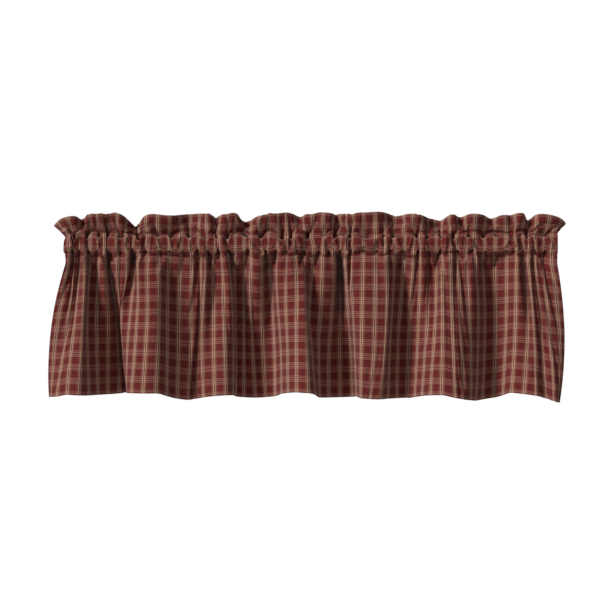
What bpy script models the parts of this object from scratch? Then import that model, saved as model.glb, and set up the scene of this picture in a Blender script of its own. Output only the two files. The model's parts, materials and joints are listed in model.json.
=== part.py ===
"""A gathered valance of checked cotton: ruffled heading, rod pocket and skirt.

Metres, +Z up. The front faces -Y, and +X is to the viewer's right.
The origin is on the pocket's axis, in the middle of the width.
The tables below are in millimetres, from the origin.
"""

import bisect
import math
from collections import namedtuple

import bpy

MM = 0.001

# The panel, counted in repeats of its check
CHECKS_ACROSS = 60

# Cloth
SKIRT_THICKNESS = 1.5 * MM
POCKET_THICKNESS = 1.5 * MM
HEADING_THICKNESS = 2.6 * MM
SEAM_GAP = 0.5 * MM

# Pocket, measured to the outside of its cloth
POCKET_HALF_HEIGHT = 16.6 * MM
POCKET_HALF_DEPTH = 9.8 * MM
POCKET_PUFF = 3.6 * MM
POCKET_ROUNDNESS = 0.8
GATHER_OF_FULL_PUFF = 6.0

# How fine each grid is
SKIRT_COLUMNS_PER_CHECK = 3
SKIRT_ROWS = 10
POCKET_COLUMNS = 168
POCKET_SIDES = 8
HEADING_COLUMNS_PER_CHECK = 3
HEADING_ROWS = 3

# Heights below the lower stitching at which the fold table gives x
TOP_LEVEL = 27.0
MIDDLE_LEVEL = 140.0
HEM_LEVEL = 257.0

# Gathers: held at the stitching, fullest a little below it, gone by the fade
GATHER_AT_STITCHING = 0.6
GATHER_BELOW = 1.35
GATHER_FULL_AT = 30.0
GATHER_FADES_AT = 210.0

# How many checks either way the stitching evens out the gathers
SEAM_SPREAD = 1.2

# How soon the pocket's walls leave the swing of the stitching: higher is sooner
STITCHING_PULL = 6

# How late the ruffle turns out from its stitching
HEADING_FLARE = 2

# Puckers: the short waves that the stitching draws up, in checks and millimetres
PUCKER_LENGTH = 1.47
PUCKER_WANDER = 0.9
PUCKER_WANDER_LENGTH = 7.3
PUCKER_SWING = 2.2
PUCKER_FADES_BELOW = 48.0

COTTON_COLOUR = (0.13, 0.035, 0.034, 1.0)
COTTON_ROUGHNESS = 0.92

# One row for each fold line of the skirt, from the left edge to the right one.
# check: where the line runs in the flat cloth. x and y: where it hangs, and
# a line in front of the rod has y under 0. drop: stitching to hem.
FoldLine = namedtuple("FoldLine", "check x_top x_middle x_hem y_top y_hem drop")
FOLD_LINES = (
    FoldLine(0.0, -475, -497, -505, 2, 20, 279),
    FoldLine(1.5, -450, -460, -487, -7, -10, 277),
    FoldLine(2.5, -449, -453, -466, 2, -26, 273),
    FoldLine(3.5, -432, -435, -442, -9, -30, 274),
    FoldLine(4.5, -425, -430, -427, 8, -12, 275),
    FoldLine(6.5, -395, -391, -394, -6, 22, 275),
    FoldLine(7.5, -392, -374, -371, 6, 34, 274),
    FoldLine(8.5, -372, -366, -362, -8, 38, 272),
    FoldLine(9.5, -352, -368, -368, -8, 16, 272),
    FoldLine(10.5, -337, -351, -358, 8, -8, 271),
    FoldLine(11.5, -332, -328, -344, -6, -26, 270),
    FoldLine(13.5, -292, -290, -293, -10, -34, 270),
    FoldLine(14.5, -270, -275, -274, 6, -14, 276),
    FoldLine(15.5, -249, -251, -252, 8, 4, 282),
    FoldLine(16.5, -228, -228, -232, 6, 18, 285),
    FoldLine(17.5, -209, -213, -221, 9, 32, 284),
    FoldLine(18.5, -198, -207, -205, -9, 14, 280),
    FoldLine(19.5, -186, -184, -184, 8, -2, 277),
    FoldLine(20.5, -168, -163, -159, 4, -12, 275),
    FoldLine(21.5, -154, -146, -145, -9, 8, 276),
    FoldLine(22.5, -143, -141, -141, 8, 32, 280),
    FoldLine(23.5, -127, -127, -127, 7, 42, 282),
    FoldLine(24.5, -111, -111, -106, -9, 42, 283),
    FoldLine(25.5, -92, -92, -88, -7, 40, 282),
    FoldLine(26.5, -75, -70, -67, 8, 30, 280),
    FoldLine(27.5, -62, -58, -54, -8, 8, 274),
    FoldLine(28.5, -43, -43, -41, -13, -14, 271),
    FoldLine(29.5, -23, -19, -16, -12, -28, 269),
    FoldLine(30.5, -9, -3, 9, -6, -30, 270),
    FoldLine(31.5, 10, 1, 12, 8, -6, 275),
    FoldLine(32.5, 26, 21, 18, -9, 18, 281),
    FoldLine(33.5, 50, 42, 38, -8, 34, 282),
    FoldLine(34.5, 63, 58, 58, 9, 42, 282),
    FoldLine(35.5, 68, 75, 81, -4, 34, 281),
    FoldLine(36.5, 81, 82, 90, -9, 10, 279),
    FoldLine(37.5, 106, 105, 102, -9, -12, 281),
    FoldLine(39.5, 152, 153, 142, -9, -14, 283),
    FoldLine(40.5, 156, 158, 156, -2, 8, 283),
    FoldLine(41.5, 180, 178, 176, 9, 26, 283),
    FoldLine(42.5, 196, 194, 194, -5, 38, 283),
    FoldLine(43.5, 216, 214, 209, -6, 18, 280),
    FoldLine(45.5, 243, 245, 238, 6, -24, 274),
    FoldLine(46.5, 261, 261, 259, -10, -36, 273),
    FoldLine(47.5, 275, 278, 282, -8, -36, 278),
    FoldLine(49.5, 309, 310, 314, -2, -10, 284),
    FoldLine(50.5, 319, 323, 325, -6, 14, 286),
    FoldLine(51.5, 340, 344, 345, 4, 28, 285),
    FoldLine(52.5, 358, 365, 366, 9, 30, 282),
    FoldLine(53.5, 382, 384, 381, 3, 10, 276),
    FoldLine(54.5, 401, 397, 392, -9, -14, 270),
    FoldLine(55.5, 408, 413, 418, 5, -18, 272),
    FoldLine(56.5, 417, 422, 439, -5, -24, 275),
    FoldLine(57.5, 436, 445, 457, -3, -16, 280),
    FoldLine(58.5, 454, 467, 475, -2, -26, 285),
    FoldLine(60.0, 486, 497, 492, -2, -18, 289),
)

# One row for each crest and notch of the ruffle's top edge
Crest = namedtuple("Crest", "check x y z")
HEADING_CRESTS = (
    Crest(0.0, -497, 6, 35),
    Crest(1.2, -478, -8, 50),
    Crest(2.6, -458, -14, 56),
    Crest(3.9, -443, 8, 47),
    Crest(5.2, -425, -10, 57),
    Crest(7.0, -403, -16, 60),
    Crest(8.6, -382, -10, 62),
    Crest(11.2, -340, 14, 34),
    Crest(12.6, -318, -8, 53),
    Crest(13.8, -300, -16, 57),
    Crest(15.3, -268, -8, 53),
    Crest(17.0, -232, 10, 59),
    Crest(18.6, -205, 0, 58),
    Crest(20.0, -179, 14, 51),
    Crest(21.8, -148, -14, 58),
    Crest(23.5, -125, 10, 43),
    Crest(24.9, -100, -8, 53),
    Crest(26.3, -75, -14, 59),
    Crest(28.0, -40, -4, 61),
    Crest(29.6, -14, 12, 52),
    Crest(31.2, 10, -6, 60),
    Crest(32.8, 36, -12, 60),
    Crest(34.2, 55, 10, 52),
    Crest(35.6, 76, -10, 58),
    Crest(37.6, 110, -14, 62),
    Crest(39.3, 145, -2, 62),
    Crest(40.6, 170, 12, 53),
    Crest(42.8, 206, -12, 58),
    Crest(45.2, 240, 6, 48),
    Crest(46.2, 262, 14, 45),
    Crest(47.4, 280, -10, 58),
    Crest(48.6, 298, 8, 50),
    Crest(50.0, 318, -12, 58),
    Crest(51.6, 342, -4, 56),
    Crest(53.0, 362, 12, 47),
    Crest(54.3, 380, -10, 58),
    Crest(55.4, 396, 6, 53),
    Crest(56.5, 412, -12, 60),
    Crest(57.4, 428, 10, 45),
    Crest(58.3, 446, -12, 60),
    Crest(59.2, 472, -6, 56),
    Crest(60.0, 500, 10, 41),
)


def smooth_step(value):
    """0 below 0 and 1 above 1, with a soft rise between."""
    value = min(max(value, 0.0), 1.0)
    return value * value * (3 - 2 * value)


def slope_at(places, values, i):
    """The slope at one row, level at a crest or hollow so that no fold overshoots."""
    if i == 0 or i == len(places) - 1:
        return 0.0
    before = (values[i] - values[i - 1]) / (places[i] - places[i - 1])
    after = (values[i + 1] - values[i]) / (places[i + 1] - places[i])
    if before * after <= 0:
        return 0.0
    return 2 * before * after / (before + after)


def read_table(rows, column, check):
    """A smooth curve through one column of a table, read at a place in the cloth."""
    places = [row.check for row in rows]
    values = [getattr(row, column) for row in rows]
    i = min(max(bisect.bisect_right(places, check) - 1, 0), len(rows) - 2)
    span = places[i + 1] - places[i]
    part = min(max((check - places[i]) / span, 0.0), 1.0)
    square = part * part
    cube = square * part
    return (
        values[i] * (2 * cube - 3 * square + 1)
        + slope_at(places, values, i) * span * (cube - 2 * square + part)
        + values[i + 1] * (3 * square - 2 * cube)
        + slope_at(places, values, i + 1) * span * (cube - square)
    )


def seam_x(check):
    """The stitching spreads the gathers more evenly than the folds below it."""
    spread = min(SEAM_SPREAD, check, CHECKS_ACROSS - check)
    near = [check + spread * step / 2 for step in (-2, -1, 0, 1, 2)]
    return sum(read_table(FOLD_LINES, "x_top", place) for place in near) / len(near)


def pucker(check):
    """A wave of uneven length, from -1 to 1 along the stitching."""
    wander = PUCKER_WANDER * math.sin(2 * math.pi * check / PUCKER_WANDER_LENGTH)
    return math.sin(2 * math.pi * check / PUCKER_LENGTH + wander)


def gather_y(check):
    return GATHER_AT_STITCHING * read_table(FOLD_LINES, "y_top", check)


def seam_y(check):
    """Gathers and puckers swing the stitching a little to the front and back."""
    return gather_y(check) + PUCKER_SWING * pucker(check)


def skirt_x(check, below):
    """One parabola through the three levels of the table."""
    top = read_table(FOLD_LINES, "x_top", check)
    middle = read_table(FOLD_LINES, "x_middle", check)
    hem = read_table(FOLD_LINES, "x_hem", check)
    to_middle = (below - TOP_LEVEL) / (MIDDLE_LEVEL - TOP_LEVEL)
    to_hem = (below - TOP_LEVEL) / (HEM_LEVEL - TOP_LEVEL)
    from_middle = (below - MIDDLE_LEVEL) / (HEM_LEVEL - MIDDLE_LEVEL)
    at_top = (1 - to_middle) * (1 - to_hem)
    at_middle = to_middle * (HEM_LEVEL - below) / (HEM_LEVEL - MIDDLE_LEVEL)
    at_hem = to_hem * from_middle
    folded = top * at_top + middle * at_middle + hem * at_hem
    seam = seam_x(check)
    return seam + (folded - seam) * smooth_step(below / TOP_LEVEL)


def skirt_y(check, below, drop):
    """Small gathers at the top give way to the wide folds of the hem."""
    rise = smooth_step(below / GATHER_FULL_AT)
    gathered = GATHER_AT_STITCHING + (GATHER_BELOW - GATHER_AT_STITCHING) * rise
    gathered *= 1 - smooth_step((below - GATHER_FULL_AT) / (GATHER_FADES_AT - GATHER_FULL_AT))
    down = below / drop
    opened = down * (2 - down)
    puckered = PUCKER_SWING * (1 - smooth_step(below / PUCKER_FADES_BELOW))
    y_top = read_table(FOLD_LINES, "y_top", check)
    y_hem = read_table(FOLD_LINES, "y_hem", check)
    return y_top * gathered + pucker(check) * puckered + y_hem * opened


def skirt_point(check, down):
    """down: 0 at the stitching, 1 at the hem."""
    drop = read_table(FOLD_LINES, "drop", check)
    below = down * drop
    top_edge = -POCKET_HALF_HEIGHT - SEAM_GAP
    return (
        skirt_x(check, below) * MM,
        skirt_y(check, below, drop) * MM,
        top_edge - below * MM,
    )


def pocket_point(check, turn):
    """turn: 0 at the lower stitching, round the front, half a turn at the upper one."""
    angle = 2 * math.pi * turn - math.pi / 2
    forward = math.cos(angle)
    upward = math.sin(angle)
    layer = 1 if forward > 0 else -1
    swing = layer * gather_y(check) / GATHER_OF_FULL_PUFF
    puff = POCKET_PUFF * (0.5 - 0.5 * max(-1.0, min(1.0, swing)))
    ridge = PUCKER_SWING * (0.5 - 0.5 * layer * pucker(check))
    half_depth = POCKET_HALF_DEPTH + puff + ridge * MM
    y = -half_depth * math.copysign(abs(forward) ** POCKET_ROUNDNESS, forward)
    z = POCKET_HALF_HEIGHT * math.copysign(abs(upward) ** POCKET_ROUNDNESS, upward)
    near_stitching = abs(upward) ** STITCHING_PULL
    return (seam_x(check) * MM, y + seam_y(check) * MM * near_stitching, z)


def heading_point(check, up):
    """up: 0 at the upper stitching, 1 at the ruffle's edge."""
    lower = (seam_x(check) * MM, seam_y(check) * MM, POCKET_HALF_HEIGHT + SEAM_GAP)
    edge = [read_table(HEADING_CRESTS, side, check) * MM for side in "xyz"]
    flare = up ** HEADING_FLARE
    return (
        lower[0] + (edge[0] - lower[0]) * flare,
        lower[1] + (edge[1] - lower[1]) * flare,
        lower[2] + (edge[2] - lower[2]) * up,
    )


def grid_mesh(name, columns, rows, point, closed=False):
    """A grid of four-sided faces over the cloth, closed round into a tube if asked."""
    around = rows if closed else rows + 1
    points = []
    for i in range(columns + 1):
        check = CHECKS_ACROSS * i / columns
        points += [point(check, j / rows) for j in range(around)]
    faces = []
    for i in range(columns):
        for j in range(rows):
            here = i * around + j
            above = i * around + (j + 1) % around
            faces.append((here, here + around, above + around, above))
    mesh = bpy.data.meshes.new(name)
    mesh.from_pydata(points, [], faces)
    mesh.validate()
    mesh.shade_smooth()
    return mesh


def cotton(name):
    material = bpy.data.materials.new(name)
    material.use_nodes = True
    material.diffuse_color = COTTON_COLOUR
    shader = material.node_tree.nodes["Principled BSDF"]
    shader.inputs["Base Color"].default_value = COTTON_COLOUR
    shader.inputs["Roughness"].default_value = COTTON_ROUGHNESS
    shader.inputs["Metallic"].default_value = 0.0
    return material


def cloth_piece(name, mesh, thickness, offset, valance):
    piece = bpy.data.objects.new(name, mesh)
    bpy.context.scene.collection.objects.link(piece)
    piece.parent = valance
    mesh.materials.append(cotton(name + "_cotton"))
    solidify = piece.modifiers.new("thickness of the cloth", "SOLIDIFY")
    solidify.thickness = thickness
    solidify.offset = offset
    return piece


def clear_scene():
    for old in list(bpy.data.objects):
        bpy.data.objects.remove(old, do_unlink=True)


def build_valance():
    valance = bpy.data.objects.new("valance", None)
    bpy.context.scene.collection.objects.link(valance)

    columns = CHECKS_ACROSS * HEADING_COLUMNS_PER_CHECK
    heading = grid_mesh("heading", columns, HEADING_ROWS, heading_point)
    cloth_piece("heading", heading, HEADING_THICKNESS, 0.0, valance)

    pocket = grid_mesh("rod_pocket", POCKET_COLUMNS, POCKET_SIDES, pocket_point, closed=True)
    cloth_piece("rod_pocket", pocket, POCKET_THICKNESS, -1.0, valance)

    columns = CHECKS_ACROSS * SKIRT_COLUMNS_PER_CHECK
    skirt = grid_mesh("skirt", columns, SKIRT_ROWS, skirt_point)
    cloth_piece("skirt", skirt, SKIRT_THICKNESS, 0.0, valance)


clear_scene()
build_valance()
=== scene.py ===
"""Looks of a gathered valance of checked cotton: ruffled heading, rod pocket and skirt.

Metres, +Z up, front facing -Y. The tables are in millimetres from the pocket's axis.
Each length of cloth starts on the folds of its solid, is then settled as cloth
that remembers its flat size, and gets its thickness, hems and stitches.
"""

import json
import math
from collections import namedtuple

import bpy
import numpy as np
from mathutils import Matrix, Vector

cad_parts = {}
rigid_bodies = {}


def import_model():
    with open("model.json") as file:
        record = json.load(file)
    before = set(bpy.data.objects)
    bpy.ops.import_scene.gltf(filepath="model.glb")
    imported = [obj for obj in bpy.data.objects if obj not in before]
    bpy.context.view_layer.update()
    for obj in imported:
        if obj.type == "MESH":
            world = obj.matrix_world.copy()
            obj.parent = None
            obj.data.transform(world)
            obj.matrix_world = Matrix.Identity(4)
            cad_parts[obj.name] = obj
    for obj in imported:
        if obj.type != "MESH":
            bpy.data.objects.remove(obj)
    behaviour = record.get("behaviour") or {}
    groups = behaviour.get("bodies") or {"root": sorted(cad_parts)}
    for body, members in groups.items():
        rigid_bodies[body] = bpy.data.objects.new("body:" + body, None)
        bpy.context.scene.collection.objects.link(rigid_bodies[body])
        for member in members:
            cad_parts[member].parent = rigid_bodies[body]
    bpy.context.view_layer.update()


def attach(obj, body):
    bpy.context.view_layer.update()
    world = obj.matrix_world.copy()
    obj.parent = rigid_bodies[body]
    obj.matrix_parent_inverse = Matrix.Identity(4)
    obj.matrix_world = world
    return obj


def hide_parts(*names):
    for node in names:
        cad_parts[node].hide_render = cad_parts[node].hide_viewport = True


MM = 0.001

# The flat panel, in repeats of its check
CHECK = 25.4 * MM
CHECKS_ACROSS = 60
SKIRT_CHECKS = 11.0
POCKET_CHECKS = 1.5
HEADING_CHECKS = 2.0
HEM_CHECKS = 1.25

# Cloth grid, before the surface is subdivided. Skirt rows are close at the top.
CELLS_PER_CHECK = 6
SKIRT_ROWS = 28
SKIRT_ROWS_NEAR_TOP = 0.46
SKIRT_ROWS_SPREAD = 2.2
HEM_ROWS = 2
POCKET_ROWS = 8
HEADING_ROWS = 10
CLOTH_THICKNESS = 0.5 * MM
HEM_LAYER_GAP = 1.0 * MM
HEADING_LAYER_GAP = 1.6 * MM
HEADING_GAP_OPENS = 6
HEADING_GAP_CLOSES = 1.15
LAYERS_CLEAR = 1.1
FOLD_ROW_SHARE = 0.12
SUBDIVISIONS = 1

# How firmly each cloth is held to its solid's folds while it settles: 1 is pinned
SKIRT_HOLD = 0.5
SKIRT_HOLD_TOP = 0.48
SKIRT_HOLD_CHANGES = 4
POCKET_HOLD = 0.6
HEADING_HOLD = 0.3
HEADING_EDGE_HOLD = 0.85
SIDE_HOLD = 1.0
SIDE_HELD = 1.5

# Settling: the frames it takes, the last of them with the folds in place, and the cloth
SKIRT_FRAMES = 26
BAND_FRAMES = 22
SETTLED_FRAMES = 8
SKIRT_GRAVITY = 0.3
SOLVER_STEPS = 6
POINT_MASS = 0.05
AIR_DAMPING = 2.0
STRETCH_STIFFNESS = 30.0
SHEAR_STIFFNESS = 8.0
BENDING_STIFFNESS = 5.0
STRETCH_DAMPING = 5.0
BENDING_DAMPING = 0.5

# Pocket, from its axis to its stitching, and the room kept for a rod
POCKET_HALF_HEIGHT = 16.85 * MM
ROD_ROOM = 6.1 * MM
ROD_ROOM_SQUARENESS = 6

# Heights below the lower stitching at which the fold table gives x
TOP_LEVEL = 27.0
MIDDLE_LEVEL = 140.0
HEM_LEVEL = 257.0

# Gathers: held at the stitching, fullest a little below it, gone by the fade
GATHER_AT_STITCHING = 0.45
GATHER_BELOW = 1.35
GATHER_FULL_AT = 30.0
GATHER_FADES_AT = 210.0
SEAM_SPREAD = 1.2
BOXING = 1.8
BOXED_TOP = 11.0
BOXED_EDGE = 16.0
MOST_DEEPENING = 1.7
DEEPENING_STEPS = 12

# The skirt's deepest folds ease off here, so that they stay near the solid's back
DEEPEST_FOLD = 40.0 * MM
DEEPEST_ROOM = 10.0 * MM

# Puckers: the short waves that the stitching draws up, deep enough to use the cloth
PUCKER_DEEPEST = 7.0
PUCKER_EVENNESS = 0.4
PUCKER_SHARPNESS = 0.32
PUCKER_SWAY = 3
END_PINCH = 0.5
SEAM_FULLNESS = 0.97
LEAST_GATHERING = 0.3
MOST_GATHERING = 0.97
LEAST_GAIN = 0.5
MOST_GAIN = 2.0
SHORTEST_STEP = 0.2

# Stitch rows stray up and down with each pucker, and slowly, in waves to a check
SEAM_WAVER = 4.5
SEAM_WANDER = 3.0
WANDER_FAST = 1.9
WANDER_SLOW = 0.7
WANDER_SLOW_SHARE = 0.7

# Where the puckers fade, how the pocket's walls stand out, and how the ruffle flares
PUCKER_FADES_BELOW = 52.0
PUCKER_FADES_UP = 0.62
POCKET_FRONT_MIDDLE = 12.2
POCKET_RELIEF = 7.2
POCKET_SQUARENESS = 0.42
HEADING_FLARE = 1.3
END_FLARE_CHECKS = 3.0

# How soon a crease comes up from its ends, and the skirt's own creases from its seam
CREASE_ENDS = 4
SEAM_KEEPS = 25.0

# Camera: the photograph is 600 pixels across, square, and taken face on
PHOTO_WIDTH_ON_CLOTH = 1.17
CAMERA_DISTANCE = 3.2
PHOTO_MIDDLE_X = -0.0156
PHOTO_MIDDLE_Z = -0.109
SENSOR_WIDTH = 36.0

# Light: one soft key from the upper left, and an even fill
KEY_DIRECTION = (2.0, 1.6, -1.3)
KEY_SOFTNESS = 12.0
KEY_STRENGTH = 2.9
FILL_STRENGTH = 0.22
FLOOR_HEIGHT = -1.3
FLOOR_SIZE = 4.0

# One row for each fold line of the skirt, from the left edge to the right one.
# check: where the line runs in the flat cloth. x and y: where it hangs, and
# a line in front of the rod has y under 0. drop: stitching to hem.
FoldLine = namedtuple("FoldLine", "check x_top x_middle x_hem y_top y_hem drop")
FOLD_LINES = (
    FoldLine(0.0, -473, -500, -507, -9, 4, 282),
    FoldLine(1.5, -452, -466, -487, -1, -12, 280),
    FoldLine(2.5, -449, -453, -466, 4, -24, 276),
    FoldLine(3.5, -432, -435, -442, -9, -30, 277),
    FoldLine(4.5, -425, -430, -427, 8, -12, 278),
    FoldLine(6.5, -395, -391, -393, -6, 22, 278),
    FoldLine(7.5, -392, -374, -372, 6, 32, 277),
    FoldLine(8.5, -372, -366, -358, -8, 42, 275),
    FoldLine(9.5, -352, -368, -359, -8, 22, 275),
    FoldLine(10.5, -337, -351, -357, 8, -2, 274),
    FoldLine(11.5, -332, -328, -344, -6, -24, 273),
    FoldLine(13.5, -292, -290, -293, -10, -34, 273),
    FoldLine(14.5, -270, -275, -274, 6, -14, 279),
    FoldLine(15.5, -249, -251, -252, 8, 0, 285),
    FoldLine(16.5, -228, -228, -232, 6, 7, 288),
    FoldLine(17.5, -209, -213, -221, 9, 16, 287),
    FoldLine(18.5, -198, -207, -205, -9, 5, 283),
    FoldLine(19.5, -186, -184, -184, 8, -2, 280),
    FoldLine(20.5, -168, -163, -159, 4, -12, 278),
    FoldLine(21.5, -154, -146, -145, -9, 8, 279),
    FoldLine(22.5, -143, -141, -141, 8, 32, 283),
    FoldLine(23.5, -127, -127, -127, 7, 38, 285),
    FoldLine(24.5, -111, -111, -105, -9, 42, 286),
    FoldLine(25.5, -92, -92, -85, -7, 47, 285),
    FoldLine(26.5, -75, -70, -69, 8, 46, 283),
    FoldLine(27.5, -62, -58, -54, -8, 24, 277),
    FoldLine(28.5, -43, -43, -42, -13, -2, 274),
    FoldLine(29.5, -23, -19, -20, -12, -22, 272),
    FoldLine(30.5, -9, -3, 5, -6, -32, 273),
    FoldLine(31.5, 10, 1, 12, 8, -8, 278),
    FoldLine(32.5, 26, 21, 18, -9, 18, 284),
    FoldLine(33.5, 53, 48, 43, -9, 32, 285),
    FoldLine(34.5, 65, 65, 67, 18, 42, 285),
    FoldLine(35.5, 74, 81, 86, -9, 40, 284),
    FoldLine(36.5, 84, 87, 94, -9, 16, 282),
    FoldLine(37.5, 106, 105, 104, -9, -9, 284),
    FoldLine(39.5, 153, 152, 142, -13, -9, 286),
    FoldLine(40.5, 166, 161, 156, -2, 10, 286),
    FoldLine(41.5, 190, 181, 176, 9, 26, 286),
    FoldLine(42.5, 206, 198, 194, -5, 38, 286),
    FoldLine(43.5, 221, 216, 209, -6, 18, 283),
    FoldLine(45.5, 248, 247, 238, 8, -24, 277),
    FoldLine(46.5, 261, 261, 259, -10, -36, 276),
    FoldLine(47.5, 275, 278, 282, -8, -36, 281),
    FoldLine(49.5, 307, 312, 314, -3, -22, 287),
    FoldLine(50.5, 322, 331, 328, -13, -1, 289),
    FoldLine(51.5, 343, 347, 344, 8, 20, 288),
    FoldLine(52.5, 366, 368, 364, 14, 32, 285),
    FoldLine(53.5, 387, 388, 383, 8, 10, 279),
    FoldLine(54.5, 407, 407, 396, -9, -14, 273),
    FoldLine(55.5, 420, 430, 420, 5, -18, 275),
    FoldLine(56.5, 428, 437, 441, -5, -24, 278),
    FoldLine(57.5, 441, 451, 459, -3, -16, 283),
    FoldLine(58.5, 454, 467, 475, -2, -26, 288),
    FoldLine(60.0, 486, 497, 492, -2, -18, 292),
)

# One row for each crest and notch of the ruffle's top edge
Crest = namedtuple("Crest", "x y z")
HEADING_CRESTS = (
    Crest(-497, 6, 36),
    Crest(-478, -8, 51),
    Crest(-458, -14, 57),
    Crest(-449, -10, 55),
    Crest(-443, 6, 43),
    Crest(-437, 8, 51),
    Crest(-428, -9, 58),
    Crest(-400, -15, 60),
    Crest(-376, -12, 63),
    Crest(-358, -6, 54),
    Crest(-337, 12, 34),
    Crest(-318, -8, 54),
    Crest(-300, -16, 58),
    Crest(-268, -8, 54),
    Crest(-232, 10, 59),
    Crest(-194, -2, 60),
    Crest(-185, 5, 53),
    Crest(-181, 9, 49),
    Crest(-173, -2, 54),
    Crest(-150, -14, 63),
    Crest(-138, -12, 62),
    Crest(-131, 6, 44),
    Crest(-120, 12, 43),
    Crest(-97, -8, 54),
    Crest(-75, -14, 60),
    Crest(-45, -4, 63),
    Crest(-27, 2, 58),
    Crest(-13, 12, 49),
    Crest(-9, 3, 56),
    Crest(-3, -8, 61),
    Crest(32, -12, 62),
    Crest(50, -8, 59),
    Crest(54, 8, 51),
    Crest(58, -1, 59),
    Crest(84, -10, 59),
    Crest(110, -14, 65),
    Crest(145, -2, 63),
    Crest(174, 12, 54),
    Crest(206, -12, 60),
    Crest(240, 6, 49),
    Crest(262, 14, 46),
    Crest(280, -10, 60),
    Crest(298, 8, 50),
    Crest(318, -12, 60),
    Crest(342, -4, 57),
    Crest(360, 12, 45),
    Crest(382, -10, 60),
    Crest(397, 6, 52),
    Crest(402, -4, 61),
    Crest(415, -12, 62),
    Crest(423, -4, 58),
    Crest(428, 10, 42),
    Crest(434, 9, 46),
    Crest(442, -10, 60),
    Crest(476, -6, 57),
    Crest(495, -8, 52),
    Crest(505, 8, 40),
)

# Where the stitching pinches the cloth back, from left to right, and how hard
Pinch = namedtuple("Pinch", "x depth")
LOWER_PINCHES = (
    Pinch(-458, 0.8),
    Pinch(-445, 0.7),
    Pinch(-427, 1.0),
    Pinch(-411, 0.8),
    Pinch(-390, 1.0),
    Pinch(-366, 0.4),
    Pinch(-343, 1.0),
    Pinch(-316, 0.4),
    Pinch(-290, 1.0),
    Pinch(-269, 0.7),
    Pinch(-246, 1.0),
    Pinch(-216, 0.8),
    Pinch(-194, 1.0),
    Pinch(-176, 0.8),
    Pinch(-153, 1.0),
    Pinch(-119, 0.6),
    Pinch(-81, 1.0),
    Pinch(-64, 0.7),
    Pinch(-43, 0.9),
    Pinch(-21, 0.8),
    Pinch(-8, 0.7),
    Pinch(21, 1.0),
    Pinch(39, 0.8),
    Pinch(63, 1.0),
    Pinch(84, 0.8),
    Pinch(107, 0.4),
    Pinch(133, 1.0),
    Pinch(160, 0.8),
    Pinch(185, 1.0),
    Pinch(215, 0.8),
    Pinch(236, 0.5),
    Pinch(257, 1.0),
    Pinch(290, 0.5),
    Pinch(318, 0.5),
    Pinch(347, 1.0),
    Pinch(364, 0.8),
    Pinch(386, 0.4),
    Pinch(402, 0.5),
    Pinch(419, 1.0),
    Pinch(440, 0.5),
    Pinch(461, 1.0),
)
UPPER_PINCHES = (
    Pinch(-476, 0.7),
    Pinch(-454, 0.9),
    Pinch(-431, 1.0),
    Pinch(-408, 0.5),
    Pinch(-390, 1.0),
    Pinch(-363, 0.3),
    Pinch(-332, 1.0),
    Pinch(-292, 0.6),
    Pinch(-265, 0.3),
    Pinch(-232, 1.0),
    Pinch(-201, 0.4),
    Pinch(-179, 1.0),
    Pinch(-156, 0.8),
    Pinch(-123, 0.3),
    Pinch(-90, 0.9),
    Pinch(-53, 0.6),
    Pinch(-33, 1.0),
    Pinch(0, 1.0),
    Pinch(31, 0.3),
    Pinch(53, 1.0),
    Pinch(82, 0.8),
    Pinch(113, 0.2),
    Pinch(148, 0.9),
    Pinch(168, 0.6),
    Pinch(211, 1.0),
    Pinch(234, 0.4),
    Pinch(257, 1.0),
    Pinch(283, 0.7),
    Pinch(312, 0.9),
    Pinch(343, 1.0),
    Pinch(369, 0.6),
    Pinch(398, 0.9),
    Pinch(427, 1.0),
    Pinch(462, 0.5),
)

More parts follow.
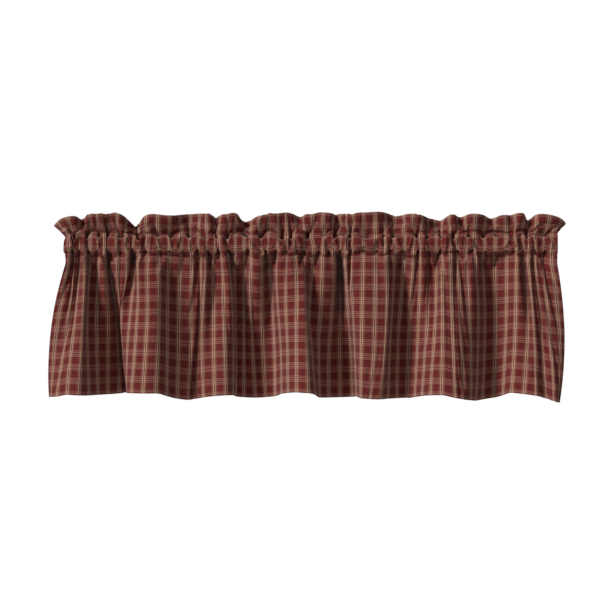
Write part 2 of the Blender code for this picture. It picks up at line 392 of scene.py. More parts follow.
# Creases, from one end to the other as they are seen from the front. width: to each
# side. depth: over 0 is a groove, and under 0 is a ridge.
Crease = namedtuple("Crease", "x_from z_from x_to z_to width depth")
GATHER_CREASES = (
    Crease(-456, 29, -448, 16, 3, -4.8),
    Crease(-448, 16, -460, -6, 3, -4.8),
    Crease(-427, 16, -425, -10, 3, 8.1),
    Crease(-413, 18, -406, -6, 3, -4.8),
    Crease(-400, -2, -402, -20, 3, 6.5),
    Crease(-388, -4, -382, -35, 4, 9.8),
    Crease(-351, 18, -359, -2, 3, -4.8),
    Crease(-359, -2, -345, -25, 3, -4.8),
    Crease(-337, -6, -343, -31, 3.5, 9.8),
    Crease(-326, 29, -333, -6, 3, -4.8),
    Crease(-316, 16, -322, -4, 3, 5.6),
    Crease(-296, 16, -287, -12, 3, -5.6),
    Crease(-289, -6, -287, -18, 3, 8.1),
    Crease(-273, 20, -267, -6, 3, -4),
    Crease(-248, 18, -257, -6, 3, -5.6),
    Crease(-257, -6, -246, -16, 3, -4.8),
    Crease(-238, -10, -230, -21, 4, 8.1),
    Crease(-228, 27, -216, 10, 3, 7.4),
    Crease(-232, 8, -230, -14, 3, -4),
    Crease(-197, 8, -193, -23, 4, 9.8),
    Crease(-183, 16, -187, -12, 3, 5.6),
    Crease(-176, 27, -164, -2, 3, -4.8),
    Crease(-156, 21, -160, -4, 3, 6.5),
    Crease(-156, -8, -144, -23, 4.5, 9.8),
    Crease(-144, 8, -127, 16, 3, 6.5),
    Crease(-127, 16, -101, 0, 3, 6.5),
    Crease(-101, 0, -88, -20, 3.5, 8.1),
    Crease(-64, -6, -62, -35, 3.5, 9.8),
    Crease(-51, 21, -47, 0, 3, 6.5),
    Crease(-39, 23, -31, 4, 3, -4.8),
    Crease(-21, 16, -14, -4, 3, -5.6),
    Crease(-8, -8, -12, -31, 3.5, 9.8),
    Crease(-4, 21, 12, -2, 3, 8.1),
    Crease(2, 16, 20, -6, 3, -4.8),
    Crease(31, 10, 31, -21, 3, -4.8),
    Crease(37, 8, 39, -20, 3, 6.5),
    Crease(51, 16, 55, -6, 3, -5.6),
    Crease(55, -6, 64, -18, 3, -5.6),
    Crease(70, 14, 74, -10, 3, -4.8),
    Crease(49, 0, 60, -23, 3.5, 9.8),
    Crease(60, -12, 62, -80, 4, 11.4),
    Crease(76, -10, 90, -4, 3, 5.6),
    Crease(133, 8, 142, -10, 3, 4.9),
    Crease(148, 21, 152, 4, 3, -4.8),
    Crease(168, 14, 158, -10, 3, 6.5),
    Crease(164, -4, 162, -21, 3, -4),
    Crease(170, 16, 179, -8, 3, -5.6),
    Crease(179, -8, 195, -14, 3, -6.4),
    Crease(195, -14, 205, 12, 3, -4.8),
    Crease(211, 16, 197, -16, 3, 8.1),
    Crease(224, 16, 242, 21, 4, -4.8),
    Crease(252, 16, 265, -12, 3, 6.5),
    Crease(257, -4, 250, -23, 3.5, 9),
    Crease(269, 18, 265, -21, 3, -4.8),
    Crease(308, 21, 320, -4, 3, -5.6),
    Crease(324, 8, 337, -20, 4, 8.1),
    Crease(343, 16, 351, -12, 3, 4.9),
    Crease(359, -6, 374, -18, 5, 9.8),
    Crease(370, -4, 386, 16, 3, 6.5),
    Crease(382, -6, 390, 8, 3, -4.8),
    Crease(398, 20, 406, -4, 3, -5.6),
    Crease(415, 16, 413, -12, 3, 5.6),
    Crease(454, 4, 456, -23, 3.5, 8.1),
    Crease(462, 16, 476, -6, 3, -4.8),
)
SKIRT_CREASES = (
    Crease(-388, -6, -394, -44, 4.5, 9),
    Crease(-340, -6, -338, -44, 5, 12),
    Crease(-289, -6, -289, -44, 4.5, 9),
    Crease(-196, -6, -192, -44, 4.5, 10),
    Crease(-152, -6, -146, -44, 4.5, 9),
    Crease(-86, -6, -80, -44, 5, 12),
    Crease(-64, -6, -64, -44, 4, 8),
    Crease(-14, -6, -12, -44, 4.5, 10),
    Crease(20, -6, 16, -44, 4.5, 8),
    Crease(61, -6, 64, -130, 7, 15),
    Crease(176, -6, 178, -44, 5, 11),
    Crease(254, -6, 252, -44, 4.5, 9),
    Crease(338, -6, 340, -44, 5, 12),
    Crease(365, -6, 368, -44, 5, 12),
    Crease(456, -6, 458, -44, 4, 7),
    Crease(316, -23, 318, -109, 5, -5),
    Crease(150, -25, 152, -90, 4, -4),
    Crease(-478, -168, -493, -250, 7, 3.5),
    Crease(-355, -203, -370, -292, 7, -4),
    Crease(-328, -197, -345, -289, 6, -3),
    Crease(-232, -168, -226, -281, 6, 3),
    Crease(-109, -168, -92, -292, 6, 3.5),
    Crease(-62, -109, -66, -289, 5, -3),
    Crease(72, -35, 86, -109, 6, -3.5),
    Crease(214, -90, 220, -190, 6, 7),
    Crease(250, -183, 226, -281, 6, -4),
    Crease(304, -197, 292, -289, 6, 3.5),
    Crease(417, -47, 433, -148, 6, 3),
    Crease(427, -197, 462, -289, 8, 3.5),
    Crease(443, -35, 468, -168, 7, -3.5),
)

# Yarns, as their colours look in the lit cloth
BURGUNDY = (0.13, 0.0138, 0.0135, 1.0)
TAN = (0.215, 0.085, 0.06, 1.0)
CREAM = (0.62, 0.375, 0.255, 1.0)
DARK = (0.03, 0.012, 0.009, 1.0)
THREAD = (0.14, 0.03, 0.03, 1.0)

# Stripes: how far each change of yarn lies from the middle of its band, in checks
STRIPE_BLUR = 0.012
WARP_STRIPES = ((0.0, DARK), (0.035, CREAM), (0.1, TAN), (0.245, BURGUNDY))
WEFT_STRIPES = (
    (0.0, BURGUNDY),
    (0.05, CREAM),
    (0.09, TAN),
    (0.19, CREAM),
    (0.215, TAN),
    (0.235, BURGUNDY),
)
WARP_PHASE = 0.0
WEFT_PHASE = 0.43
WEFT_CHECK = 26.2 * MM
WEFT_SHARE = 0.36

# Weave: yarns to a check, how much the crossings show, and how uneven the yarns are
YARNS = 26.0
CROSSING_CONTRAST = 0.16
YARN_UNEVENNESS = 0.22
SLUBS_ALONG = 3.0
WEAVE_BUMP = 0.12 * MM
SLUB_BUMP = 0.35 * MM

# Finish of the cotton, and of the floor
COTTON_ROUGHNESS = 0.9
COTTON_SPECULAR = 0.15
COTTON_SHEEN = 0.12
COTTON_SHEEN_ROUGHNESS = 0.5
FLOOR_COLOUR = (0.9, 0.9, 0.9, 1.0)
FLOOR_ROUGHNESS = 0.8

# Stitch rows across the cloth, and down its two side hems, in checks from the hem's fold
STITCH_ROWS = (HEM_CHECKS, SKIRT_CHECKS, SKIRT_CHECKS + POCKET_CHECKS)
STITCH_COLUMNS = (0.45, CHECKS_ACROSS - 0.45)
STITCHES = 8.0
STITCH_SHARE = 0.78
STITCH_HALF_WIDTH = 0.01
STITCH_DENT_HALF_WIDTH = 0.05
STITCH_DENT = 0.1 * MM


# Curves through the tables

def smooth_step(value):
    value = np.clip(value, 0.0, 1.0)
    return value * value * (3 - 2 * value)


def curve_through(places, values, at):
    """A smooth curve through points, level at its crests and hollows."""
    rise = np.diff(values) / np.diff(places)
    slopes = np.zeros(len(places))
    slopes[0] = rise[0]
    slopes[-1] = rise[-1]
    product = rise[:-1] * rise[1:]
    total = rise[:-1] + rise[1:]
    same_way = product > 0
    slopes[1:-1][same_way] = 2 * product[same_way] / total[same_way]
    i = np.clip(np.searchsorted(places, at, side="right") - 1, 0, len(places) - 2)
    span = places[i + 1] - places[i]
    part = np.clip((at - places[i]) / span, 0.0, 1.0)
    square = part * part
    cube = square * part
    return (
        values[i] * (2 * cube - 3 * square + 1)
        + slopes[i] * span * (cube - 2 * square + part)
        + values[i + 1] * (3 * square - 2 * cube)
        + slopes[i + 1] * span * (cube - square)
    )


def read_table(rows, column, check):
    places = np.array([row.check for row in rows])
    values = np.array([float(getattr(row, column)) for row in rows])
    return curve_through(places, values, check)


def running_mean(values, width):
    """The mean over a window of this many places, with the ends carried on straight."""
    half = width // 2
    before = 2 * values[0] - values[half:0:-1]
    after = 2 * values[-1] - values[-2:-half - 2:-1]
    padded = np.concatenate([before, values, after])
    return np.convolve(padded, np.ones(2 * half + 1) / (2 * half + 1), mode="valid")


def boxed(y, most):
    """Folds with flatter fronts and steeper sides."""
    return most * np.tanh(BOXING * y / most) / math.tanh(BOXING)


def seam_x(check):
    """The stitching spreads the gathers more evenly than the folds below it."""
    spread = np.minimum(SEAM_SPREAD, np.minimum(check, CHECKS_ACROSS - check))
    near = [read_table(FOLD_LINES, "x_top", check + spread * step / 2) for step in (-2, -1, 0, 1, 2)]
    return sum(near) / len(near)


def wave_steepness(gathering):
    """How steep a wave has to be for its width to be this share of the cloth's length."""
    steepness = np.linspace(0.0, 0.99, 100)
    angle = np.linspace(0.0, math.pi, 181)[None, :]
    share = np.sqrt(1 - (steepness[:, None] * np.cos(angle)) ** 2).mean(axis=1)
    return np.interp(gathering, share[::-1], steepness[::-1])


def gathered_line(pinches):
    """x and y of one stitch row in millimetres, at each grid column. y over 0 is pinched back."""
    check = np.linspace(0.0, CHECKS_ACROSS, CHECKS_ACROSS * CELLS_PER_CHECK + 1)
    x = seam_x(check)
    pinch_checks = np.interp([pinch.x for pinch in pinches], x, check)
    places = np.concatenate([[-1.0], pinch_checks, [CHECKS_ACROSS + 1.0]])
    depths = np.array([END_PINCH] + [pinch.depth for pinch in pinches] + [END_PINCH])
    turns = curve_through(places, np.arange(len(places), dtype=float), check)
    depth = curve_through(places, depths, check)
    cell = CHECK / MM / CELLS_PER_CHECK
    gathering = running_mean(np.gradient(x), 2 * CELLS_PER_CHECK) / cell
    gathering = np.clip(gathering, LEAST_GATHERING, MOST_GATHERING)
    wavelength = cell / np.maximum(np.gradient(turns), 1e-3)
    swing = wave_steepness(gathering) * wavelength / (2 * math.pi)
    angle = 2 * math.pi * turns
    wave = PUCKER_EVENNESS + (1 - PUCKER_EVENNESS) * depth
    wave = wave * (np.cos(angle) + PUCKER_SHARPNESS * np.cos(2 * angle))
    level = GATHER_AT_STITCHING * read_table(FOLD_LINES, "y_top", check)
    near_end = smooth_step(np.minimum(check, CHECKS_ACROSS - check) / 2)

    low = LEAST_GAIN
    high = MOST_GAIN
    for _ in range(DEEPENING_STEPS):
        gain = (low + high) / 2
        pucker = np.minimum(swing * gain, PUCKER_DEEPEST) * wave
        y = level + pucker
        steps = np.sqrt(np.maximum(cell ** 2 - np.diff(y) ** 2, (SHORTEST_STEP * cell) ** 2))
        along = np.concatenate([[0.0], np.cumsum(steps)])
        swayed = x + (along - running_mean(along, PUCKER_SWAY * CELLS_PER_CHECK)) * near_end
        length = np.hypot(np.diff(swayed), np.diff(y)).sum()
        if length < SEAM_FULLNESS * CHECKS_ACROSS * CHECK / MM:
            low = gain
        else:
            high = gain
    return swayed, y, pucker, wave


def seam_wander(start):
    """How far a stitch row strays up and down, in millimetres."""
    check = np.linspace(0.0, CHECKS_ACROSS, CHECKS_ACROSS * CELLS_PER_CHECK + 1)
    fast = np.sin(WANDER_FAST * check + start)
    slow = np.sin(WANDER_SLOW * check + 2 * start)
    return SEAM_WANDER * (fast + WANDER_SLOW_SHARE * slow) / (1 + WANDER_SLOW_SHARE)


LOWER_X, LOWER_Y, LOWER_PUCKER, LOWER_WAVE = gathered_line(LOWER_PINCHES)
UPPER_X, UPPER_Y, UPPER_PUCKER, UPPER_WAVE = gathered_line(UPPER_PINCHES)
LOWER_Z = -POCKET_HALF_HEIGHT / MM + SEAM_WAVER * LOWER_WAVE + seam_wander(0.0)
UPPER_Z = POCKET_HALF_HEIGHT / MM - SEAM_WAVER * UPPER_WAVE + seam_wander(2.0)


def skirt_surface(check, down):
    """Where the skirt hangs. down: 0 at the stitching, 1 at the hem."""
    drop = read_table(FOLD_LINES, "drop", check)
    below = down * drop
    top = read_table(FOLD_LINES, "x_top", check)
    middle = read_table(FOLD_LINES, "x_middle", check)
    hem = read_table(FOLD_LINES, "x_hem", check)
    to_middle = (below - TOP_LEVEL) / (MIDDLE_LEVEL - TOP_LEVEL)
    to_hem = (below - TOP_LEVEL) / (HEM_LEVEL - TOP_LEVEL)
    from_middle = (below - MIDDLE_LEVEL) / (HEM_LEVEL - MIDDLE_LEVEL)
    before_hem = (HEM_LEVEL - below) / (HEM_LEVEL - MIDDLE_LEVEL)
    folded = top * (1 - to_middle) * (1 - to_hem)
    folded = folded + middle * to_middle * before_hem + hem * to_hem * from_middle
    seam = LOWER_X[:, None]
    x = seam + (folded - seam) * smooth_step(below / TOP_LEVEL)

    rise = smooth_step(below / GATHER_FULL_AT)
    gathered = GATHER_AT_STITCHING + (GATHER_BELOW - GATHER_AT_STITCHING) * rise
    gathered = gathered * (1 - smooth_step((below - GATHER_FULL_AT) / (GATHER_FADES_AT - GATHER_FULL_AT)))
    y_top = boxed(read_table(FOLD_LINES, "y_top", check), BOXED_TOP)
    y_hem = read_table(FOLD_LINES, "y_hem", check)
    y = y_top * gathered + y_hem * down * (2 - down)
    y = y + LOWER_PUCKER[:, None] * (1 - smooth_step(below / PUCKER_FADES_BELOW))
    y = y + (LOWER_Y[:, None] - y[:, :1]) * (1 - smooth_step(below / TOP_LEVEL))
    hem_z = -POCKET_HALF_HEIGHT / MM - drop
    z = LOWER_Z[:, None] * (1 - down) + hem_z * down
    return deepened(np.stack([x, y, z], axis=-1) * MM)


def creased(points, creases):
    """The same cloth with its creases, each a soft groove or ridge between two places."""
    made = points.copy()
    x = points[..., 0] / MM
    z = points[..., 2] / MM
    for crease in creases:
        along_x = crease.x_to - crease.x_from
        along_z = crease.z_to - crease.z_from
        length = math.hypot(along_x, along_z)
        part = ((x - crease.x_from) * along_x + (z - crease.z_from) * along_z) / length ** 2
        away = ((x - crease.x_from) * along_z - (z - crease.z_from) * along_x) / length
        ends = smooth_step(part * CREASE_ENDS + 0.5) * smooth_step((1 - part) * CREASE_ENDS + 0.5)
        made[..., 1] += crease.depth * MM * ends * np.exp(-(away / crease.width) ** 2)
    return made


def finer(values):
    """A grid with a point added halfway between each two, along both of its sides."""
    for axis in (0, 1):
        values = np.moveaxis(values, axis, 0)
        halves = np.empty((2 * values.shape[0] - 1,) + values.shape[1:])
        halves[::2] = values
        halves[1::2] = (values[:-1] + values[1:]) / 2
        values = np.moveaxis(halves, 0, axis)
    return values


def row_lengths(points):
    return np.linalg.norm(np.diff(points, axis=0), axis=-1).sum(axis=0)


def deepened(points):
    """Folds made deep enough, row by row, to take up the whole width of the cloth."""
    wanted = CHECKS_ACROSS * CHECK
    low = np.ones(points.shape[1])
    high = np.full(points.shape[1], MOST_DEEPENING)
    made = points.copy()
    for _ in range(DEEPENING_STEPS):
        scale = (low + high) / 2
        made[..., 1] = points[..., 1] * scale
        short = row_lengths(made) < wanted
        low = np.where(short, scale, low)
        high = np.where(short, high, scale)
    made[..., 1] = points[..., 1] * low
    made[:, 0] = points[:, 0]
    return made


def heading_surface(check, up):
    """The ruffle's middle. up: 0 at the upper stitching, 1 at its edge."""
    crest_x, crest_y, crest_z = np.array(HEADING_CRESTS, dtype=float).T
    from_left = 1 - smooth_step(check / END_FLARE_CHECKS)
    from_right = 1 - smooth_step((CHECKS_ACROSS - check) / END_FLARE_CHECKS)
    edge_x = seam_x(check)
    edge_x = edge_x + (crest_x[0] - edge_x[0]) * from_left + (crest_x[-1] - edge_x[-1]) * from_right
    edge_y = curve_through(crest_x, crest_y, edge_x)
    edge_z = curve_through(crest_x, crest_z, edge_x)
    flare = up ** HEADING_FLARE
    base_x = UPPER_X[:, None]
    x = base_x + (edge_x - base_x) * flare
    level = UPPER_Y - UPPER_PUCKER
    y = level[:, None] * (1 - flare) + boxed(edge_y, BOXED_EDGE) * flare
    y = y + UPPER_PUCKER[:, None] * (1 - smooth_step(up / PUCKER_FADES_UP))
    base_z = UPPER_Z[:, None]
    z = base_z + (edge_z - base_z) * up
    return deepened(np.stack([x, y, z], axis=-1) * MM)


def pocket_surface(up, layer):
    """One wall of the pocket. layer: -1 for the front, 1 for the back."""
    x = LOWER_X[:, None] * (1 - up) + UPPER_X[:, None] * up
    y = LOWER_Y[:, None] * (1 - up) + UPPER_Y[:, None] * up
    wave = LOWER_WAVE[:, None] * (1 - up) + UPPER_WAVE[:, None] * up
    bulge = np.sin(math.pi * up) ** POCKET_SQUARENESS
    out = POCKET_FRONT_MIDDLE + layer * POCKET_RELIEF * wave
    y = y * (1 - bulge) + layer * out * bulge
    z = LOWER_Z[:, None] * (1 - up) + UPPER_Z[:, None] * up
    return np.stack([x, y, z], axis=-1) * MM


# Cloth

def cloth_grid(rows, near=1.0, spread=1.0):
    """check and row share for each point of a grid, as two arrays. near under 1: closer rows first."""
    columns = CHECKS_ACROSS * CELLS_PER_CHECK
    check = np.linspace(0.0, CHECKS_ACROSS, columns + 1)
    step = np.linspace(0.0, 1.0, rows + 1)
    share = near * step + (1 - near) * step ** spread
    return np.meshgrid(check, share, indexing="ij")


def grid_faces(columns, rows):
    faces = []
    for i in range(columns):
        for j in range(rows):
            here = i * (rows + 1) + j
            faces.append((here, here + 1, here + rows + 2, here + rows + 1))
    return faces


def settle(name, flat, hung, hold, frames, gravity):
    """Gathers flat cloth to where it hangs, so that what is left over buckles. hold: 1 is pinned."""
    columns = flat.shape[0] - 1
    rows = flat.shape[1] - 1
    mesh = bpy.data.meshes.new(name)
    mesh.from_pydata([tuple(p) for p in flat.reshape(-1, 3)], [], grid_faces(columns, rows))
    sheet = bpy.data.objects.new(name, mesh)
    bpy.context.scene.collection.objects.link(sheet)
    sheet.shape_key_add(name="flat")
    gathered = sheet.shape_key_add(name="hung")
    gathered.data.foreach_set("co", hung.reshape(-1).astype(np.float32))
    gathered.value = 0.0
    gathered.keyframe_insert("value", frame=1)
    gathered.value = 1.0
    gathered.keyframe_insert("value", frame=frames - SETTLED_FRAMES)
    group = sheet.vertex_groups.new(name="hold")
    for index, weight in enumerate(hold.reshape(-1)):
        group.add([index], float(weight), "REPLACE")

    cloth = sheet.modifiers.new("cloth", "CLOTH")
    settings = cloth.settings
    settings.quality = SOLVER_STEPS
    settings.mass = POINT_MASS
    settings.air_damping = AIR_DAMPING
    settings.tension_stiffness = STRETCH_STIFFNESS
    settings.compression_stiffness = STRETCH_STIFFNESS
    settings.shear_stiffness = SHEAR_STIFFNESS
    settings.bending_stiffness = BENDING_STIFFNESS
    settings.tension_damping = STRETCH_DAMPING
    settings.compression_damping = STRETCH_DAMPING
    settings.shear_damping = STRETCH_DAMPING
    settings.bending_damping = BENDING_DAMPING
    settings.vertex_group_mass = "hold"
    settings.pin_stiffness = 1.0
    settings.effector_weights.gravity = gravity
    cloth.point_cache.frame_start = 1
    cloth.point_cache.frame_end = frames

    scene = bpy.context.scene
    for frame_number in range(1, frames + 1):
        scene.frame_set(frame_number)
    graph = bpy.context.evaluated_depsgraph_get()
    settled = sheet.evaluated_get(graph)
    points = np.empty(len(mesh.vertices) * 3, np.float32)
    settled.data.vertices.foreach_get("co", points)
    bpy.data.objects.remove(sheet, do_unlink=True)
    scene.frame_set(1)
    return points.reshape(flat.shape).astype(float)


def flat_cloth(check, height):
    """The same grid laid out flat at its cut size. height: of each point, in metres."""
    x = (check - CHECKS_ACROSS / 2) * CHECK
    return np.stack([x, np.zeros_like(x), height], axis=-1)


def normals_of(points):
    """Unit normals of a grid: to the back if its rows run down, to the front if they run up."""
    along = np.gradient(points, axis=0)
    down = np.gradient(points, axis=1)
    normal = np.cross(along, down)
    normal /= np.linalg.norm(normal, axis=-1, keepdims=True) + 1e-12
    return normal


def sheet_piece(name, points, u, v, material):
    """A cloth piece from a grid of points, smooth, with its thickness and a flat-cloth UV map."""
    columns = points.shape[0] - 1
    rows = points.shape[1] - 1
    mesh = bpy.data.meshes.new(name)
    mesh.from_pydata([tuple(p) for p in points.reshape(-1, 3)], [], grid_faces(columns, rows))
    mesh.update()
    uv = mesh.uv_layers.new(name="flat_cloth")
    index = np.empty(len(mesh.loops), np.int32)
    mesh.loops.foreach_get("vertex_index", index)
    pairs = np.stack([u.reshape(-1)[index], v.reshape(-1)[index]], axis=-1)
    uv.data.foreach_set("uv", pairs.reshape(-1).astype(np.float32))
    piece = bpy.data.objects.new(name, mesh)
    bpy.context.scene.collection.objects.link(piece)
    mesh.materials.append(material)
    bpy.ops.object.select_all(action="DESELECT")
    piece.select_set(True)
    bpy.context.view_layer.objects.active = piece
    smooth = piece.modifiers.new("smooth", "SUBSURF")
    smooth.levels = SUBDIVISIONS
    smooth.render_levels = SUBDIVISIONS
    bpy.ops.object.modifier_apply(modifier=smooth.name)
    solid = piece.modifiers.new("thickness", "SOLIDIFY")
    solid.thickness = CLOTH_THICKNESS
    solid.offset = 0.0
    bpy.ops.object.modifier_apply(modifier=solid.name)
    piece.data.shade_smooth()
    return piece


# Materials

def node(tree, kind, **values):
    made = tree.nodes.new(kind)
    for key, value in values.items():
        setattr(made, key, value)
    return made


def maths(tree, operation, first, second=None, third=None):
    made = node(tree, "ShaderNodeMath", operation=operation)
    for socket, value in zip(made.inputs, (first, second, third)):
        if value is None:
            continue
        if isinstance(value, (int, float)):
            socket.default_value = value
        else:
            tree.links.new(value, socket)
    return made.outputs[0]


def mix_colours(tree, factor, first, second):
    made = node(tree, "ShaderNodeMix", data_type="RGBA")
    for socket, value in zip((made.inputs[0], made.inputs[6], made.inputs[7]), (factor, first, second)):
        if isinstance(value, (int, float, tuple)):
            socket.default_value = value
        else:
            tree.links.new(value, socket)
    return made.outputs[2]


def stripe_colour(tree, along, phase, stripes):
    """The colour of the yarns that cross this place, counted in checks along the cloth."""
    shifted = maths(tree, "ADD", along, phase)
    part = maths(tree, "FRACT", shifted)
    centred = maths(tree, "SUBTRACT", part, 0.5)
    from_middle = maths(tree, "ABSOLUTE", centred)
    ramp = node(tree, "ShaderNodeValToRGB")
    marks = [(0.0, stripes[0][1])]
    for (_, before), (place, colour) in zip(stripes, stripes[1:]):
        marks.append((place - STRIPE_BLUR / 2, before))
        marks.append((place + STRIPE_BLUR / 2, colour))
    stops = ramp.color_ramp.elements
    while len(stops) < len(marks):
        stops.new(1.0)
    for stop, (place, colour) in zip(stops, marks):
        stop.position = place
        stop.color = colour
    tree.links.new(from_middle, ramp.inputs["Fac"])
    return ramp.outputs["Color"]


def level_line(tree, along, place, half_width):
    """1 on a line across the cloth at this place, falling to 0 beside it."""
    away = maths(tree, "ABSOLUTE", maths(tree, "SUBTRACT", along, place))
    part = maths(tree, "DIVIDE", away, half_width)
    return maths(tree, "MAXIMUM", maths(tree, "SUBTRACT", 1.0, part), 0.0)


def stitching(tree, across, down, half_width, broken):
    """Where thread shows, or where it dents the cloth. broken: in stitches, not in one line."""
    found = 0.0
    for lines, along, other in ((STITCH_ROWS, down, across), (STITCH_COLUMNS, across, down)):
        for place in lines:
            line = level_line(tree, along, place, half_width)
            if broken:
                turn = maths(tree, "FRACT", maths(tree, "MULTIPLY", other, STITCHES))
                line = maths(tree, "MULTIPLY", line, maths(tree, "LESS_THAN", turn, STITCH_SHARE))
            found = maths(tree, "MAXIMUM", line, found)
    return found


def yarn_noise(tree, across, down, scale_across, scale_down):
    """Noise drawn out along one set of yarns, from 0 to 1."""
    place = node(tree, "ShaderNodeCombineXYZ")
    tree.links.new(maths(tree, "MULTIPLY", across, scale_across), place.inputs["X"])
    tree.links.new(maths(tree, "MULTIPLY", down, scale_down), place.inputs["Y"])
    noise = node(tree, "ShaderNodeTexNoise", noise_dimensions="2D")
    noise.inputs["Scale"].default_value = 1.0
    noise.inputs["Detail"].default_value = 2.0
    tree.links.new(place.outputs["Vector"], noise.inputs["Vector"])
    return noise.outputs[0]


def bump(tree, height, depth, before=None):
    made = node(tree, "ShaderNodeBump")
    made.inputs["Strength"].default_value = 1.0
    made.inputs["Distance"].default_value = depth
    tree.links.new(height, made.inputs["Height"])
    if before is not None:
        tree.links.new(before, made.inputs["Normal"])
    return made.outputs["Normal"]


def checked_cotton():
    material = bpy.data.materials.new("checked_cotton")
    material.use_nodes = True
    tree = material.node_tree
    shader = tree.nodes["Principled BSDF"]
    uv = node(tree, "ShaderNodeUVMap", uv_map="flat_cloth")
    split = node(tree, "ShaderNodeSeparateXYZ")
    tree.links.new(uv.outputs["UV"], split.inputs["Vector"])
    across = split.outputs["X"]
    down = split.outputs["Y"]
    warp = stripe_colour(tree, across, WARP_PHASE, WARP_STRIPES)
    weft_repeats = maths(tree, "MULTIPLY", down, CHECK / WEFT_CHECK)
    weft = stripe_colour(tree, weft_repeats, WEFT_PHASE, WEFT_STRIPES)

    warp_wave = maths(tree, "SINE", maths(tree, "MULTIPLY", across, YARNS * math.pi))
    weft_wave = maths(tree, "SINE", maths(tree, "MULTIPLY", down, YARNS * math.pi))
    crossing = maths(tree, "MULTIPLY", warp_wave, weft_wave)
    share = maths(tree, "MULTIPLY_ADD", crossing, CROSSING_CONTRAST, WEFT_SHARE)
    blended = mix_colours(tree, share, warp, weft)

    warp_noise = yarn_noise(tree, across, down, YARNS, SLUBS_ALONG)
    weft_noise = yarn_noise(tree, across, down, SLUBS_ALONG, YARNS)
    slubs = maths(tree, "ADD", warp_noise, weft_noise)
    shade = maths(tree, "MULTIPLY_ADD", slubs, YARN_UNEVENNESS, 1.0 - YARN_UNEVENNESS)
    shaded = node(tree, "ShaderNodeVectorMath", operation="SCALE")
    tree.links.new(blended, shaded.inputs[0])
    tree.links.new(shade, shaded.inputs["Scale"])
    thread = stitching(tree, across, down, STITCH_HALF_WIDTH, True)
    shows = maths(tree, "GREATER_THAN", thread, 0.0)
    sewn = mix_colours(tree, shows, shaded.outputs[0], THREAD)
    tree.links.new(sewn, shader.inputs["Base Color"])

    dented = stitching(tree, across, down, STITCH_DENT_HALF_WIDTH, False)
    lifted = maths(tree, "SUBTRACT", thread, dented)
    normal = bump(tree, slubs, SLUB_BUMP)
    normal = bump(tree, maths(tree, "ABSOLUTE", crossing), WEAVE_BUMP, normal)
    normal = bump(tree, lifted, STITCH_DENT, normal)
    tree.links.new(normal, shader.inputs["Normal"])
    shader.inputs["Roughness"].default_value = COTTON_ROUGHNESS
    shader.inputs["Specular IOR Level"].default_value = COTTON_SPECULAR
    shader.inputs["Sheen Weight"].default_value = COTTON_SHEEN
    shader.inputs["Sheen Roughness"].default_value = COTTON_SHEEN_ROUGHNESS
    return material


def plain_floor():
    material = bpy.data.materials.new("pale_floor")
    material.use_nodes = True
    shader = material.node_tree.nodes["Principled BSDF"]
    shader.inputs["Base Color"].default_value = FLOOR_COLOUR
    shader.inputs["Roughness"].default_value = FLOOR_ROUGHNESS
    return material


# Pieces

def held_at_sides(hold, check):
    """Raises the hold towards the two side edges, which keep their outline."""
    from_side = np.minimum(check, CHECKS_ACROSS - check)
    near = 1 - smooth_step(from_side / SIDE_HELD)
    return hold + (SIDE_HOLD - hold) * near


def turned_back(points, turned, gap):
    """The same cloth with its last rows folded behind it. turned: how many rows."""
    behind = points[:, -2:-turned - 2:-1] + normals_of(points)[:, -2:-turned - 2:-1] * gap
    return crisp_fold(np.concatenate([points, behind], axis=1), points.shape[1] - 1)


def crisp_fold(values, fold_row):
    """A row added close to each side of the fold, so that smoothing leaves the fold where it is."""
    fold = values[:, fold_row:fold_row + 1]
    before = values[:, fold_row - 1:fold_row]
    after = values[:, fold_row + 1:fold_row + 2]
    near_before = fold + (before - fold) * FOLD_ROW_SHARE
    near_after = fold + (after - fold) * FOLD_ROW_SHARE
    rows = [values[:, :fold_row], near_before, fold, near_after, values[:, fold_row + 1:]]
    return np.concatenate(rows, axis=1)


def eased_back(points):
    """The same cloth with its deepest folds a little shallower."""
    made = points.copy()
    too_deep = np.maximum(points[..., 1] - DEEPEST_FOLD, 0.0)
    made[..., 1] -= too_deep - DEEPEST_ROOM * np.tanh(too_deep / DEEPEST_ROOM)
    return made


def rod_room(points):
    """How far a pocket wall has to stay from the pocket's axis."""
    return ROD_ROOM * (1 - (points[..., 2] / POCKET_HALF_HEIGHT) ** ROD_ROOM_SQUARENESS)


def make_skirt(material):
    check, down = cloth_grid(SKIRT_ROWS, SKIRT_ROWS_NEAR_TOP, SKIRT_ROWS_SPREAD)
    hung = skirt_surface(check, down)
    drop = read_table(FOLD_LINES, "drop", check) * MM
    flat = flat_cloth(check, -down * drop)
    hold = SKIRT_HOLD_TOP + (SKIRT_HOLD - SKIRT_HOLD_TOP) * smooth_step(down * SKIRT_HOLD_CHANGES)
    hold = held_at_sides(hold, check)
    hold[:, 0] = 1.0
    points = settle("skirt_settling", flat, hung, hold, SKIRT_FRAMES, SKIRT_GRAVITY)
    points[..., 2] += (hung[:, -1:, 2] - points[:, -1:, 2]) * down
    points = creased(points, GATHER_CREASES)
    below_seam = smooth_step(down * SEAM_KEEPS)
    points += (creased(points, SKIRT_CREASES) - points) * below_seam[..., None]
    points = turned_back(eased_back(points), HEM_ROWS, HEM_LAYER_GAP)
    v = (1 - down) * SKIRT_CHECKS
    v = crisp_fold(np.concatenate([v, -v[:, -2:-HEM_ROWS - 2:-1]], axis=1), SKIRT_ROWS)
    u = np.repeat(check[:, :1], v.shape[1], axis=1)
    piece = sheet_piece("skirt_cloth", points, u, v, material)
    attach(piece, "root")
    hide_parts("skirt")
    return piece


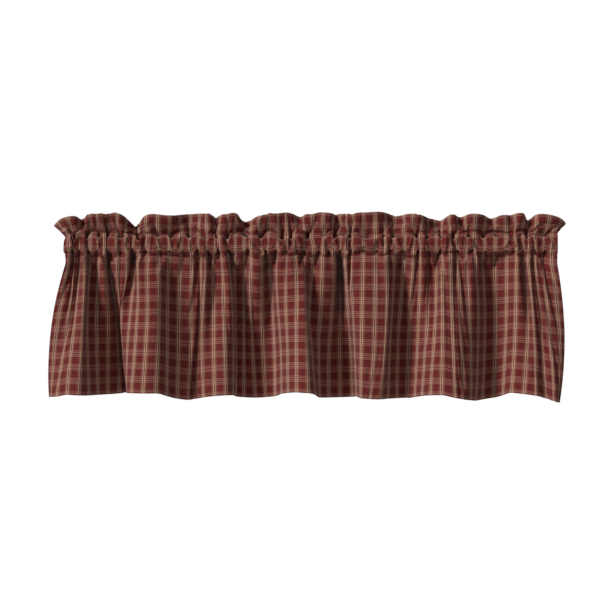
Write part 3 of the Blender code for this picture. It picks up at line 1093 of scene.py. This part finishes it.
def make_pocket(material):
    check, up = cloth_grid(POCKET_ROWS)
    v = SKIRT_CHECKS + up * POCKET_CHECKS
    flat = flat_cloth(check, up * POCKET_CHECKS * CHECK)
    hold = np.full(check.shape, POCKET_HOLD)
    hold[:, 0] = 1.0
    hold[:, -1] = 1.0
    pieces = []
    for name, layer in (("front", -1), ("back", 1)):
        hung = pocket_surface(up, layer)
        points = settle("pocket_settling", flat, hung, hold, BAND_FRAMES, 0.0)
        clear = np.maximum(points[..., 1] * layer, rod_room(points))
        points[:, 1:-1, 1] = (clear * layer)[:, 1:-1]
        u = check
        rows_up = v
        if layer > 0:
            gathered = creased(points, GATHER_CREASES)
            points[:, 0] = gathered[:, 0]
            points[:, -1] = gathered[:, -1]
        if layer < 0:
            points = creased(finer(points), GATHER_CREASES)
            points[:, 1:-1, 1] = np.minimum(points[..., 1], -rod_room(points))[:, 1:-1]
            u = finer(check)
            rows_up = finer(v)
        piece = sheet_piece("pocket_" + name, points, u, rows_up, material)
        pieces.append(piece)
    for piece in pieces:
        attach(piece, "root")
        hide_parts("rod_pocket")
    return pieces


def make_heading(material):
    check, up = cloth_grid(HEADING_ROWS)
    hung = heading_surface(check, up)
    flat = flat_cloth(check, up * HEADING_CHECKS * CHECK)
    hold = HEADING_HOLD + (HEADING_EDGE_HOLD - HEADING_HOLD) * up ** 3
    hold = held_at_sides(hold, check)
    hold[:, 0] = 1.0
    points = settle("heading_settling", flat, hung, hold, BAND_FRAMES, 0.0)
    points = creased(points, GATHER_CREASES)
    gap = HEADING_LAYER_GAP * np.sqrt(np.clip(HEADING_GAP_CLOSES - up, 0, 1))
    gap = gap * smooth_step(up * HEADING_GAP_OPENS) + CLOTH_THICKNESS * LAYERS_CLEAR
    gap[:, -1] = 0.0
    normal = normals_of(points)
    front = points + normal * gap[..., None] / 2
    back = points - normal * gap[..., None] / 2
    both = crisp_fold(np.concatenate([front, back[:, -2::-1]], axis=1), HEADING_ROWS)
    v_front = SKIRT_CHECKS + POCKET_CHECKS + up * HEADING_CHECKS
    v_back = 2 * v_front[:, -1:] - v_front[:, -2::-1]
    v = crisp_fold(np.concatenate([v_front, v_back], axis=1), HEADING_ROWS)
    u = np.repeat(check[:, :1], v.shape[1], axis=1)
    piece = sheet_piece("heading_cloth", both, u, v, material)
    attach(piece, "root")
    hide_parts("heading")
    return piece


# Stage

def make_camera():
    camera = bpy.data.objects.new("camera", bpy.data.cameras.new("camera"))
    bpy.context.scene.collection.objects.link(camera)
    camera.data.sensor_width = SENSOR_WIDTH
    camera.data.lens = SENSOR_WIDTH * CAMERA_DISTANCE / PHOTO_WIDTH_ON_CLOTH
    camera.location = (PHOTO_MIDDLE_X, -CAMERA_DISTANCE, PHOTO_MIDDLE_Z)
    camera.rotation_euler = (math.pi / 2, 0, 0)
    bpy.context.scene.camera = camera


def far_light(name, towards, softness, strength):
    """A soft light from far off, so that both ends of the curtain are lit alike."""
    light = bpy.data.lights.new(name, "SUN")
    light.angle = math.radians(softness)
    light.energy = strength
    lamp = bpy.data.objects.new(name, light)
    bpy.context.scene.collection.objects.link(lamp)
    lamp.rotation_euler = Vector(towards).to_track_quat("-Z", "Y").to_euler()


def make_world():
    """White behind the object, and a dimmer, even light from all round."""
    world = bpy.data.worlds.new("studio")
    world.use_nodes = True
    tree = world.node_tree
    seen = tree.nodes["Background"]
    seen.inputs["Color"].default_value = (1, 1, 1, 1)
    seen.inputs["Strength"].default_value = 1.0
    fill = node(tree, "ShaderNodeBackground")
    fill.inputs["Color"].default_value = (1, 1, 1, 1)
    fill.inputs["Strength"].default_value = FILL_STRENGTH
    path = node(tree, "ShaderNodeLightPath")
    blend = node(tree, "ShaderNodeMixShader")
    tree.links.new(path.outputs["Is Camera Ray"], blend.inputs[0])
    tree.links.new(fill.outputs[0], blend.inputs[1])
    tree.links.new(seen.outputs[0], blend.inputs[2])
    tree.links.new(blend.outputs[0], tree.nodes["World Output"].inputs["Surface"])
    bpy.context.scene.world = world


def make_stage():
    bpy.ops.mesh.primitive_plane_add(size=FLOOR_SIZE, location=(0, 0, FLOOR_HEIGHT))
    floor = bpy.context.active_object
    floor.name = "floor"
    floor.data.materials.append(plain_floor())
    far_light("key", KEY_DIRECTION, KEY_SOFTNESS, KEY_STRENGTH)
    make_world()
    bpy.context.scene.view_settings.view_transform = "Standard"


bpy.ops.object.select_all(action="SELECT")
bpy.ops.object.delete()
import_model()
make_camera()
make_stage()
cotton = checked_cotton()
make_skirt(cotton)
make_pocket(cotton)
make_heading(cotton)
